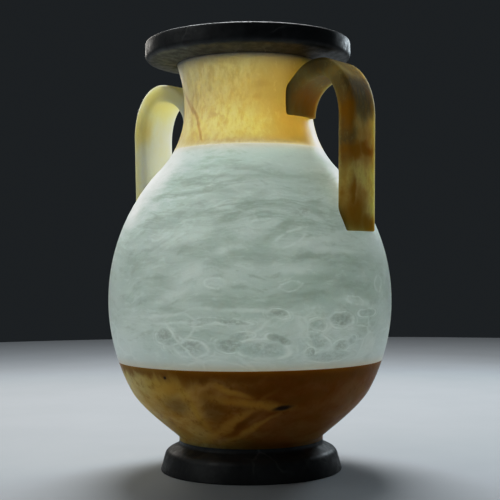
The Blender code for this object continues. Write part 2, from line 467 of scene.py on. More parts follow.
class Bench:
    """Adds and joins the nodes of one material."""

    FAR = 9.0  # lens sizes, past every fade

    def __init__(self, name: str) -> None:
        """Starts a material with a plain shader.

        Args:
            name: The material's name.
        """
        self.material = bpy.data.materials.new(name)
        self.material.use_nodes = True
        self.tree = self.material.node_tree
        self.shader = self.tree.nodes["Principled BSDF"]
        self.place = self.node("ShaderNodeTexCoord").outputs["Object"]

    def node(self, kind: str, inputs: dict[str | int, Value] | None = None,
             **settings: object) -> bpy.types.Node:
        """Adds a node.

        Args:
            kind: The node's type.
            inputs: What its inputs read, by name or number: a socket or a plain value.
            **settings: The node's own settings.

        Returns:
            The new node.
        """
        made = self.tree.nodes.new(kind)
        for key, setting in settings.items():
            setattr(made, key, setting)
        for key, value in (inputs or {}).items():
            if isinstance(value, bpy.types.NodeSocket):
                self.tree.links.new(value, made.inputs[key])
            else:
                made.inputs[key].default_value = value
        return made

    def math(self, operation: str, *values: Value) -> bpy.types.NodeSocket:
        """Joins numbers by an operation such as ADD, ABSOLUTE or MULTIPLY_ADD."""
        return self.node("ShaderNodeMath", dict(enumerate(values)), operation=operation).outputs[0]

    def times(self, first: Value, second: Value) -> bpy.types.NodeSocket:
        """One strength times another."""
        return self.math("MULTIPLY", first, second)

    def stronger(self, first: Value, second: Value) -> bpy.types.NodeSocket:
        """The greater of two strengths."""
        return self.math("MAXIMUM", first, second)

    def mapped(self, vector: Value, scale: Point, rotation: Point = (0, 0, 0)) -> bpy.types.NodeSocket:
        """Stretches and turns a pattern's coordinates.

        Args:
            vector: The coordinates.
            scale: Stretch along each axis; more makes the pattern finer.
            rotation: Turn about each axis, in degrees.

        Returns:
            The new coordinates.
        """
        turns = tuple(math.radians(angle) for angle in rotation)
        made = self.node("ShaderNodeMapping", {"Vector": vector, "Scale": scale, "Rotation": turns})
        return made.outputs[0]

    def upright(self, vector: Value, finer: float) -> bpy.types.NodeSocket:
        """Makes a pattern finer along Z, or coarser with less than 1."""
        return self.mapped(vector, (1.0, 1.0, finer))

    def noise(self, vector: Value, noise: Noise) -> bpy.types.NodeSocket:
        """Cloudy noise.

        Args:
            vector: The coordinates.
            noise: Its sizes.

        Returns:
            The noise.
        """
        made = self.node("ShaderNodeTexNoise", {"Vector": vector, "Scale": noise.scale,
                                                "Detail": noise.detail, "Roughness": noise.rough})
        return made.outputs["Fac"]

    def clouds(self, vector: Value, clouds: Clouds) -> bpy.types.NodeSocket:
        """A part of cloudy noise, picked by a step."""
        return self.between(self.noise(vector, clouds.noise), clouds.step)

    def cells(self, vector: Value, scale: float) -> bpy.types.NodeSocket:
        """How far a point lies from the edges of irregular cells, with scale of them in a metre."""
        made = self.node("ShaderNodeTexVoronoi", {"Vector": vector, "Scale": scale},
                         feature="DISTANCE_TO_EDGE")
        return made.outputs[0]

    def warped(self, vector: Value, *bends: Bend) -> bpy.types.NodeSocket:
        """Bends coordinates by noise.

        Args:
            vector: The coordinates.
            *bends: The bends, one after another.

        Returns:
            The bent coordinates.
        """
        for bend in bends:
            clouds = self.node("ShaderNodeTexNoise", {"Vector": vector, "Scale": bend.scale,
                                                      "Detail": bend.detail})
            centred = self.node("ShaderNodeVectorMath", {0: clouds.outputs["Color"], 1: (0.5, 0.5, 0.5)},
                                operation="SUBTRACT")
            reach = (2 * bend.reach,) * 3
            vector = self.node("ShaderNodeVectorMath", {0: centred.outputs[0], 1: reach, 2: vector},
                               operation="MULTIPLY_ADD").outputs[0]
        return vector

    def between(self, value: Value, step: Step) -> bpy.types.NodeSocket:
        """Steps a value smoothly.

        Args:
            value: What is read.
            step: The step; it goes down the value where its high is less than its low.

        Returns:
            The stepped value.
        """
        low, high, start, end = step.low, step.high, step.start, step.end
        if high < low:
            low, high, start, end = high, low, end, start
        made = self.node("ShaderNodeMapRange", {"Value": value, "From Min": low, "From Max": high,
                                                "To Min": start, "To Max": end},
                         interpolation_type="SMOOTHSTEP")
        return made.outputs[0]

    def band(self, value: Value, band: Band) -> bpy.types.NodeSocket:
        """Draws a soft line where a value passes a middle.

        Args:
            value: What is read.
            band: The line.

        Returns:
            The line's strength, nothing away from it.
        """
        off = self.math("ABSOLUTE", self.math("SUBTRACT", value, band.middle))
        return self.between(off, Step(0.0, band.half, band.strength, 0.0))

    def blend(self, factor: Value, first: Value, second: Value) -> bpy.types.NodeSocket:
        """Mixes two colours.

        Args:
            factor: Share of the second.
            first: A colour or a colour socket.
            second: The same.

        Returns:
            The mixed colour.
        """
        colours = [(*value, 1.0) if isinstance(value, tuple) else value for value in (first, second)]
        made = self.node("ShaderNodeMix", {0: factor, 6: colours[0], 7: colours[1]}, data_type="RGBA")
        return made.outputs[2]

    def height(self, vector: Value) -> bpy.types.NodeSocket:
        """Height over the floor."""
        return self.node("ShaderNodeSeparateXYZ", {0: vector}).outputs["Z"]

    def across(self, angle: float, vector: Value) -> bpy.types.NodeSocket:
        """How far a point lies from the axis along a level direction.

        Args:
            angle: The direction, in degrees from +X.
            vector: The coordinates.

        Returns:
            The distance, in metres.
        """
        way = math.cos(math.radians(angle)), math.sin(math.radians(angle)), 0.0
        made = self.node("ShaderNodeVectorMath", {0: vector, 1: way}, operation="DOT_PRODUCT")
        return made.outputs["Value"]

    def distance(self, vector: Value, inclusions: Iterable[Inclusion]) -> bpy.types.NodeSocket:
        """How far out of the nearest inclusion a point lies.

        Args:
            vector: The coordinates.
            inclusions: The lens shapes.

        Returns:
            0 at a lens's middle, 1 on its edge, and more outside.
        """
        nearest: Value = self.FAR
        for lens in inclusions:
            turned = self.node("ShaderNodeMapping", {
                "Vector": vector, "Location": lens.centre, "Scale": (lens.along, lens.through, lens.up),
                "Rotation": (0.0, math.radians(lens.tilt), math.radians(lens.facing - 90.0)),
            }, vector_type="TEXTURE")
            away = self.node("ShaderNodeVectorMath", {0: turned.outputs[0]}, operation="LENGTH")
            nearest = self.math("MINIMUM", nearest, away.outputs["Value"])
        return nearest

    def marks(self, vector: Value, inclusions: Iterable[Inclusion], fade: Step) -> bpy.types.NodeSocket:
        """How strongly a point lies in an inclusion, by a step over the distance."""
        return self.between(self.distance(vector, inclusions), fade)

    def bump(self, height: Value, depth: float) -> bpy.types.NodeSocket:
        """The normal bent by a fine relief as deep as depth."""
        return self.node("ShaderNodeBump", {"Height": height, "Distance": depth, "Strength": 1.0}).outputs[0]

    def finish(self, colour: Value, roughness: Value, normal: Value | None = None,
               **plain: float | Colour) -> bpy.types.Material:
        """Joins the patterns to the shader.

        Args:
            colour: The surface's colour.
            roughness: Its roughness.
            normal: Its bent normal.
            **plain: Numbers that are the same all over, with _ for each space in the input's name.

        Returns:
            The material.
        """
        joins = {"Base Color": colour, "Roughness": roughness}
        if normal is not None:
            joins["Normal"] = normal
        for name, value in joins.items():
            if isinstance(value, bpy.types.NodeSocket):
                self.tree.links.new(value, self.shader.inputs[name])
            else:
                self.shader.inputs[name].default_value = (*value, 1.0) if isinstance(value, tuple) else value
        for name, value in plain.items():
            self.shader.inputs[name.replace("_", " ")].default_value = value
        return self.material


@dataclass(frozen=True)
class Polish:
    """What all the alabasters share: how deep light goes in, and how the polished skin shines."""

    tint: Colour
    depth: float = 0.020
    shine: float = 0.35
    refraction: float = 1.5
    gloss: Clouds = Clouds(Noise(55.0, 5.0, 0.6), Step(0.35, 0.65, 0.32, 0.46))
    skin: float = 0.00012
    grain: Noise = Noise(420.0, 3.0, 0.6)
    waves: Noise = Noise(60.0, 2.0)
    wave_share: float = 2.0

    def lay(self, bench: Bench, colour: Value) -> bpy.types.Material:
        """Gives a stone its polish.

        Args:
            bench: The material's nodes so far.
            colour: Its colour.

        Returns:
            The finished material.
        """
        relief = bench.math("MULTIPLY_ADD", bench.noise(bench.place, self.waves), self.wave_share,
                            bench.noise(bench.place, self.grain))
        return bench.finish(colour, bench.clouds(bench.place, self.gloss), bench.bump(relief, self.skin),
                            Subsurface_Weight=1.0, Subsurface_Radius=self.tint, Subsurface_Scale=self.depth,
                            IOR=self.refraction, Specular_IOR_Level=self.shine)


@dataclass(frozen=True)
class WhiteAlabaster:
    """The belly's clouded white stone: wavy streaks above, pale-veined grey nodules below.

    Its flaws are strokes as BodyCurve.drawn reads them, chosen in the photograph. Heights of steps
    are counted from the joint under it.
    """

    curve: BodyCurve
    polish: Polish = Polish((1.0, 1.0, 1.0))
    clear: Colour = (0.675, 0.735, 0.715)
    cloud: Colour = (0.615, 0.680, 0.650)
    streak: Colour = (0.50, 0.55, 0.51)
    heart: Colour = (0.515, 0.545, 0.52)
    vein: Colour = (0.77, 0.83, 0.815)
    core: Colour = (0.53, 0.58, 0.56)
    warm: Colour = (0.68, 0.62, 0.52)
    bluish: Colour = (0.70, 0.775, 0.785)

    # The ground, in bent layers
    layer_bends: Bends = (Bend(8.0, 0.035), Bend(40.0, 0.005, 3.0))
    layering: float = 3.0
    clouds: Clouds = Clouds(Noise(15.0, 4.0, 0.55), Step(0.36, 0.66))
    low_joint: Band = Band(0.0, 0.006, 0.45)
    high_joint: Band = Band(0.0, 0.004, 0.35)
    blue_foot: Step = Step(0.0274, 0.0054, 0.0, 0.4)

    # Thin threads on the shoulder and wisps all over
    thread_bends: Bends = (Bend(11.0, 0.012), Bend(60.0, 0.0022, 3.0))
    thread_layering: float = 8.0
    threads: Noise = Noise(16.0, 7.0, 0.64)
    thread_height: Step = Step(0.0734, 0.1054, 0.35, 1.0)
    thread_patches: Clouds = Clouds(Noise(11.0, 2.0), Step(0.40, 0.58, 0.1, 1.0))
    dark_thread: Band = Band(0.555, 0.045, 0.50)
    pale_thread: Band = Band(0.45, 0.028, 0.50)
    wisps: Noise = Noise(58.0, 6.0, 0.66)
    dark_wisps: Step = Step(0.52, 0.66, 0.0, 0.42)
    pale_wisps: Step = Step(0.46, 0.34, 0.0, 0.42)

    # Soft bands and swirls at the front, and broader bands on the far side
    band_bends: Bends = (Bend(30.0, 0.0035, 3.0), Bend(110.0, 0.0012, 3.0))
    comb_layering: float = 5.0
    comb: Clouds = Clouds(Noise(60.0, 6.0, 0.66), Step(0.38, 0.58))
    comb_share: float = 0.75
    broad_bands: Clouds = Clouds(Noise(24.0, 5.0, 0.62), Step(0.45, 0.60, 0.0, 0.9))
    far_angle: float = 125.0
    far_side: Step = Step(0.008, 0.045)
    dark_fade: Step = Step(2.3, 0.3, 0.0, 0.40)
    pale_fade: Step = Step(1.9, 0.3, 0.0, 0.55)
    pale_patches: Clouds = Clouds(Noise(40.0, 4.0, 0.6), Step(0.34, 0.58, 0.3, 1.0))
    dark_bands: Strokes = (
        (290, 175, 28, 3.0, -8), (235, 166, 40, 2.2, -1), (215, 191, 32, 1.8, 4), (172, 184, 14, 4.0, 8),
        (322, 214, 18, 3.0, -30), (236, 213, 26, 5.0, 38), (208, 257, 17, 3.5, -10), (218, 263, 9, 2.2, -18),
        (290, 257, 32, 4.5, 3), (306, 253, 13, 3.5, 0), (338, 262, 22, 4.5, -3), (148, 262, 15, 7.0, 0),
        (190, 249, 36, 3.5, 6), (222, 299, 34, 3.5, -3), (165, 310, 20, 3.5, 6), (340, 284, 24, 4.5, -14),
        (298, 298, 32, 4.0, 10), (158, 288, 9, 16.0, -30), (277, 231, 15, 2.5, 36), (268, 203, 30, 2.0, -8),
        (250, 175, 40, 1.5, 2), (245, 255, 24, 3.5, 4), (355, 290, 16, 3.0, -30),
    )
    pale_bands: Strokes = (
        (240, 239, 36, 4.5, 28), (335, 250, 24, 3.5, -4), (300, 267, 20, 4.0, 4), (183, 232, 24, 9.0, 10),
        (192, 272, 12, 8.0, 28), (175, 293, 18, 5.0, 30), (320, 240, 20, 4.0, 14), (250, 310, 60, 2.0, -2),
        (150, 316, 25, 1.5, 4), (200, 323, 45, 1.5, 2), (360, 303, 18, 3.0, -10),
    )

    # Grey nodules along the foot, ringed and joined by pale veins, and thin loops in the middle
    nodule_bends: Bends = (Bend(55.0, 0.0022), Bend(170.0, 0.0010, 4.0))
    grit_layering: float = 1.6
    grit: Clouds = Clouds(Noise(330.0, 5.0, 0.75), Step(0.40, 0.60, 0.1, 1.0))
    core_fade: Step = Step(1.0, 0.5, 0.0, 0.62)
    heart_fade: Step = Step(1.7, 0.4, 0.0, 0.66)
    seam_bend: Bend = Bend(42.0, 0.006, 4.0)
    seam_layering: float = 1.8
    seam_cells: float = 40.0
    seam: Band = Band(0.0, 0.08, 0.75)
    seam_height: Step = Step(0.0474, 0.0274)
    seam_patches: Clouds = Clouds(Noise(30.0, 3.0), Step(0.42, 0.58, 0.0, 0.75))
    inner_ring: Band = Band(1.06, 0.22, 0.85)
    outer_ring: Band = Band(1.40, 0.12, 0.45)
    loop_ring: Band = Band(1.0, 0.34, 0.65)
    ring_gaps: Clouds = Clouds(Noise(120.0, 3.0, 0.6), Step(0.40, 0.60, 0.2, 1.0))
    loops: Strokes = (
        (290, 238, 18, 6.5, 27), (262, 224, 14, 4.5, 8), (291, 286, 11, 4.5, 10), (215, 283, 10, 5.5, 0),
        (378, 284, 5, 7.0, 60), (355, 301, 9, 4.0, -12),
    )
    nodules: Strokes = (
        (278, 315, 11, 5.0, 0), (200, 322, 17, 4.0, 6), (232, 322, 18, 3.5, -4), (164, 336, 8, 8.0, 20),
        (190, 348, 17, 8.5, -8), (230, 345, 14, 8.0, -4), (262, 349, 26, 10.0, -4), (280, 340, 14, 4.5, -16),
        (318, 324, 9, 6.0, -10), (342, 320, 12, 7.5, -4), (368, 313, 8, 4.0, 8), (318, 341, 14, 7.0, -24),
        (341, 346, 9, 6.0, 20), (330, 356, 22, 5.5, 3), (310, 352, 6, 4.5, 20), (352, 340, 6, 5.0, 30),
        (172, 343, 9, 4.0, 30), (240, 336, 14, 4.0, 8),
    )
    hearts: Strokes = (
        (278.8, 314.5, 6.4, 2.9, -3), (230, 345, 10, 5.8, -4), (280, 339.7, 10.3, 2.6, -16),
        (342.8, 318.8, 8.3, 5.3, -4), (164, 335.2, 5.5, 5.6, 20), (341, 345.1, 5.0, 3.4, 20),
        (303, 212, 8.4, 4.2, 10), (232, 321.8, 10.6, 1.8, -4), (312.8, 350.6, 5.1, 3.4, 20),
        (192, 344.5, 8.7, 4.1, -8),
    )

    def make(self) -> bpy.types.Material:
        """Makes the stone.

        Returns:
            Its material.
        """
        bench = Bench(Slot.WHITE.value)
        height = bench.height(bench.place)
        layers = bench.upright(bench.warped(bench.place, *self.layer_bends), self.layering)
        colour = bench.blend(bench.clouds(layers, self.clouds), self.clear, self.cloud)
        colour = self._threads(bench, colour, height, layers)
        colour = self._bands(bench, colour, layers)
        colour = self._nodules(bench, colour, height)
        joints = bench.stronger(bench.band(height, self.low_joint.raised(self.curve.bowl_top)),
                                bench.band(height, self.high_joint.raised(self.curve.belly_top)))
        return self.polish.lay(bench, bench.blend(joints, colour, self.warm))

    def _threads(self, bench: Bench, colour: Value, height: Value, layers: Value) -> Value:
        """Draws thin level threads, most of them on the shoulder, and wisps all over.

        Args:
            bench: The material's nodes so far.
            colour: The stone without them.
            height: Height over the floor.
            layers: The stone's bent layers.

        Returns:
            The stone with them.
        """
        bent = bench.upright(bench.warped(bench.place, *self.thread_bends), self.thread_layering)
        lines = bench.noise(bent, self.threads)
        shown = bench.times(bench.between(height, self.thread_height.raised(self.curve.bowl_top)),
                            bench.clouds(layers, self.thread_patches))
        dark = bench.times(bench.band(lines, self.dark_thread), shown)
        pale = bench.times(bench.band(lines, self.pale_thread), shown)
        colour = bench.blend(pale, bench.blend(dark, colour, self.streak), self.vein)
        wisps = bench.noise(layers, self.wisps)
        colour = bench.blend(bench.between(wisps, self.dark_wisps), colour, self.streak)
        return bench.blend(bench.between(wisps, self.pale_wisps), colour, self.vein)

    def _bands(self, bench: Bench, colour: Value, layers: Value) -> Value:
        """Draws the soft bands and swirls, streaked by finer noise, and broader ones on the far side.

        Args:
            bench: The material's nodes so far.
            colour: The stone without them.
            layers: The stone's bent layers.

        Returns:
            The stone with them.
        """
        bent = bench.warped(bench.place, *self.band_bends)
        combed = bench.clouds(bench.upright(bent, self.comb_layering), self.comb)
        broad = bench.times(bench.clouds(layers, self.broad_bands),
                            bench.between(bench.across(self.far_angle, bench.place), self.far_side))
        dark = bench.marks(bent, self.curve.drawn(self.dark_bands), self.dark_fade)
        dark = bench.times(bench.stronger(dark, broad),
                           bench.math("ADD", bench.times(combed, self.comb_share), 1.0 - self.comb_share))
        pale = bench.times(bench.marks(bent, self.curve.drawn(self.pale_bands), self.pale_fade),
                           bench.clouds(layers, self.pale_patches))
        return bench.blend(pale, bench.blend(dark, colour, self.streak), self.vein)

    def _nodules(self, bench: Bench, colour: Value, height: Value) -> Value:
        """Draws the loops, and the nodules with the veins between them.

        Args:
            bench: The material's nodes so far.
            colour: The stone without them.
            height: Height over the floor.

        Returns:
            The stone with them.
        """
        bent = bench.warped(bench.place, *self.nodule_bends)
        near = bench.distance(bent, self.curve.drawn(self.nodules))
        grit = bench.clouds(bench.upright(bent, self.grit_layering), self.grit)
        hearts = bench.marks(bent, self.curve.drawn(self.hearts), self.heart_fade)
        blue = bench.between(height, self.blue_foot.raised(self.curve.bowl_top))
        colour = bench.blend(blue, colour, self.bluish)
        colour = bench.blend(bench.times(bench.between(near, self.core_fade), grit), colour, self.core)
        colour = bench.blend(bench.times(hearts, grit), colour, self.heart)
        rings = bench.stronger(bench.band(near, self.inner_ring), bench.band(near, self.outer_ring))
        loops = bench.distance(bent, self.curve.drawn(self.loops))
        rings = bench.stronger(rings, bench.band(loops, self.loop_ring))
        broken = bench.times(rings, bench.clouds(bent, self.ring_gaps))
        return bench.blend(bench.stronger(broken, self._seams(bench, height)), colour, self.vein)

    def _seams(self, bench: Bench, height: Value) -> Value:
        """The pale veins between the nodules.

        Args:
            bench: The material's nodes so far.
            height: Height over the floor.

        Returns:
            How strong they are.
        """
        bent = bench.upright(bench.warped(bench.place, self.seam_bend), self.seam_layering)
        shown = bench.times(bench.between(height, self.seam_height.raised(self.curve.bowl_top)),
                            bench.clouds(bench.place, self.seam_patches))
        return bench.times(bench.band(bench.cells(bent, self.seam_cells), self.seam), shown)


@dataclass(frozen=True)
class HoneyAlabaster:
    """The neck's and the handles' golden stone, finely mottled, with brown stains and one brown vein.

    Flaws on the neck are rows as BodyCurve.lenses reads them. Those on a handle's outer face are rows of
    the place along Y, the height, the reach along and the reach up.
    """

    curve: BodyCurve
    name: str = Slot.HONEY.value
    polish: Polish = Polish((1.0, 0.94, 0.75))
    clear: Colour = (0.86, 0.78, 0.54)
    pale: Colour = (0.88, 0.82, 0.62)
    fleck: Colour = (0.755, 0.66, 0.42)
    stain: Colour = (0.44, 0.25, 0.07)
    # Colour of the duller waist, and of the painted shade on the right handle's crown
    dull: Colour = (0.80, 0.735, 0.50)
    # Colour of the warm spots and the browner belly joint, and of the painted shade under the rim and on one
    # side
    ripe: Colour = (0.70, 0.58, 0.34)
    rust: Colour = (0.79, 0.65, 0.38)

    # The ground: mottled, dull round the waist, browner at the belly joint, painted shade under the rim and
    # on one side
    cloud_bend: Bend = Bend(20.0, 0.012)
    clouds: Clouds = Clouds(Noise(22.0, 4.0, 0.55), Step(0.38, 0.62))
    soft_bend: Bend = Bend(45.0, 0.010, 4.0)
    waist_ring: Band = Band(0.006, 0.026, 0.7)
    # Browner over the belly joint, and a painted shadow of the rim over the neck's top; end_share sets how
    # strong
    low_end: Step = Step(0.020, 0.004)
    rim_shadow: Step = Step(-0.010, 0.0)
    end_share: float = 0.35
    # Painted shade: the neck darker and browner towards one side
    dusk_angle: float = 35.0
    dusk_side: Step = Step(-0.014, 0.036)
    dusk: float = 1.0
    grain_bend: Bend = Bend(90.0, 0.003, 3.0)
    grain_layering: float = 0.42
    grain: Noise = Noise(270.0, 6.0, 0.68)
    dark_grain: Step = Step(0.44, 0.62)
    pale_grain: Step = Step(0.46, 0.30)
    pale_grain_share: float = 0.75
    mottle: float = 0.8

    # The vein down the neck's front left, and warm spots on the neck
    vein_through: float = 0.004
    vein_bend: Bend = Bend(120.0, 0.0012)
    vein_fade: Step = Step(2.2, 0.4, 0.0, 0.36)
    vein: Rows = ((-122.0, 0.2565, 0.0098, 0.0010, -46), (-108.0, 0.2470, 0.0080, 0.0009, -50),
                  (-99.5, 0.2365, 0.0070, 0.0008, -62), (-95.0, 0.2300, 0.0035, 0.0006, -56))
    spot_through: float = 0.006
    spot_fade: Step = Step(1.5, 0.4, 0.0, 0.5)
    spots: Rows = ((-46.4, 0.2570, 0.0032, 0.0026, 10), (-40.4, 0.2644, 0.0040, 0.0028, -20),
                   (-3.5, 0.2310, 0.0120, 0.0050, 0))

    # Stains and clear golden parts of the handles
    strap_through: float = 0.012
    stain_bend: Bend = Bend(75.0, 0.006, 4.0)
    stain_fade: Step = Step(1.6, 0.4, 0.0, 0.92)
    right_stains: StrapRows = (
        (-0.0110, 0.2160, 0.0085, 0.0060), (0.0040, 0.2185, 0.0110, 0.0040),
        (-0.0100, 0.1760, 0.0120, 0.0125), (0.0060, 0.1690, 0.0110, 0.0070),
        (-0.0165, 0.2420, 0.0060, 0.0120), (-0.0150, 0.1900, 0.0035, 0.0100),
    )
    left_stains: StrapRows = ((-0.0150, 0.2430, 0.0080, 0.0100), (0.0060, 0.1950, 0.0100, 0.0160))
    golden_fade: Step = Step(1.6, 0.5)
    right_golden: StrapRows = ((0.0010, 0.2005, 0.0155, 0.0085), (0.0095, 0.1840, 0.0080, 0.0125))

    # Painted shade on the right handle's crown, down to its outer bend, and on its front side face
    painted_shade_fade: Step = Step(1.4, 0.6, 0.0, 0.9)
    painted_shade: tuple[Inclusion, ...] = (
        Inclusion((0.0720, 0.0, 0.2780), 0.0, 0.030, 0.0130, 0.0, 0.022),
        Inclusion((0.0930, 0.0, 0.2550), 0.0, 0.030, 0.0180, 0.0, 0.008),
        Inclusion((0.0865, -0.0220, 0.2380), 0.0, 0.0100, 0.0300, 0.0, 0.012),
    )

    # The reddish parts: the right handle's toe, and the left one's outer edge and crown
    rusty_fade: Step = Step(1.5, 0.5, 0.0, 0.8)
    rusty: tuple[Inclusion, ...] = (
        Inclusion((0.0540, 0.0, 0.2360), 0.0, 0.034, 0.0240, 0.0, 0.014),
        Inclusion((-0.0900, -0.0170, 0.2480), 180.0, 0.0120, 0.0170, 0.0, 0.014),
        Inclusion((-0.0640, -0.0100, 0.2680), 180.0, 0.0300, 0.0170, 0.0, 0.026),
        Inclusion((-0.0925, -0.0170, 0.2050), 180.0, 0.0090, 0.0400, 0.0, 0.008),
    )

    @classmethod
    def for_handle(cls, curve: BodyCurve, side: Side) -> "HoneyAlabaster":
        """A copy of the stone for a handle: darker and browner on the right as painted shade, paler on the
        left as painted light.

        Args:
            curve: The body's outline.
            side: The handle.

        Returns:
            The sort.
        """
        # Painted shade: the right handle's whole stone darker and browner
        if side is Side.RIGHT:
            return cls(curve, "brown_honey_alabaster", Polish((1.0, 0.92, 0.65), shine=0.01),
                       clear=(0.68, 0.42, 0.08), pale=(0.990, 0.80, 0.25), fleck=(0.62, 0.34, 0.05),
                       stain=(0.50, 0.215, 0.010), dull=(0.225, 0.16, 0.06), ripe=(0.50, 0.32, 0.05),
                       rust=(0.66, 0.195, 0.004), dusk=0.0, mottle=0.35)
        # Painted light: the left handle's whole stone paler
        return cls(curve, "pale_honey_alabaster",
                   clear=(0.997, 0.942, 0.79), pale=(0.997, 0.957, 0.87), fleck=(0.987, 0.885, 0.64),
                   stain=(0.88, 0.62, 0.20), dull=(0.985, 0.90, 0.64), ripe=(0.98, 0.86, 0.53),
                   rust=(0.985, 0.80, 0.36), dusk=0.0, mottle=0.35)

    def _on_strap(self, side: Side, rows: StrapRows) -> list[Inclusion]:
        """Flaws in a handle's outer face.

        Args:
            side: The handle.
            rows: The flaws, as the class describes them.

        Returns:
            The flaws.
        """
        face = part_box("handle_right")[1].x if side is Side.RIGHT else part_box("handle_left")[0].x
        facing = math.degrees(side.value)
        return [Inclusion((face, y, height), facing, along, up, 0.0, self.strap_through)
                for y, height, along, up in rows]

    def make(self) -> bpy.types.Material:
        """Makes the stone.

        Returns:
            Its material.
        """
        bench = Bench(self.name)
        soft = bench.warped(bench.place, self.soft_bend)
        colour = self._ground(bench, soft)
        # Painted shade on the right handle's crown, outer bend and front side face
        colour = bench.blend(bench.marks(soft, self.painted_shade, self.painted_shade_fade), colour, self.dull)
        golden = bench.marks(soft, self._on_strap(Side.RIGHT, self.right_golden), self.golden_fade)
        colour = self._mottled(bench, bench.blend(golden, colour, self.pale))
        spots = bench.marks(soft, self.curve.lenses(self.spots, self.spot_through), self.spot_fade)
        colour = bench.blend(spots, colour, self.ripe)
        stains = self._on_strap(Side.RIGHT, self.right_stains) + self._on_strap(Side.LEFT, self.left_stains)
        stained = bench.marks(bench.warped(bench.place, self.stain_bend), stains, self.stain_fade)
        colour = bench.blend(stained, colour, self.stain)
        colour = bench.blend(bench.marks(soft, self.rusty, self.rusty_fade), colour, self.rust)
        vein = self.curve.lenses(self.vein, self.vein_through)
        line = bench.marks(bench.warped(bench.place, self.vein_bend), vein, self.vein_fade)
        return self.polish.lay(bench, bench.blend(line, colour, self.stain))

    def _ground(self, bench: Bench, soft: Value) -> Value:
        """The stone's broad clouds: dull round the waist, browner at the belly joint, painted shade under the
        rim and on one side.

        Args:
            bench: The material's nodes so far.
            soft: Coordinates that are gently bent.

        Returns:
            The clouds.
        """
        curve = self.curve
        clouds = bench.clouds(bench.warped(bench.place, self.cloud_bend), self.clouds)
        colour = bench.blend(clouds, self.clear, self.pale)
        level = bench.height(soft)
        colour = bench.blend(bench.band(level, self.waist_ring.raised(curve.waist)), colour, self.dull)
        # Browner over the belly joint, and painted shadow of the rim at the neck's top
        ends = bench.stronger(bench.between(level, self.low_end.raised(curve.belly_top)),
                              bench.between(level, self.rim_shadow.raised(curve.neck_top)))
        # Painted shade towards one side
        shade = bench.between(bench.across(self.dusk_angle, soft), replace(self.dusk_side, end=self.dusk))
        return bench.blend(bench.stronger(bench.times(ends, self.end_share), shade), colour, self.ripe)

    def _mottled(self, bench: Bench, colour: Value) -> Value:
        """Adds fine upright mottling.

        Args:
            bench: The material's nodes so far.
            colour: The stone without it.

        Returns:
            The stone with it.
        """
        grain = bench.noise(bench.upright(bench.warped(bench.place, self.grain_bend), self.grain_layering),
                            self.grain)
        dark = bench.between(grain, replace(self.dark_grain, end=self.mottle))
        pale = bench.between(grain, replace(self.pale_grain, end=self.pale_grain_share * self.mottle))
        return bench.blend(pale, bench.blend(dark, colour, self.fleck), self.pale)


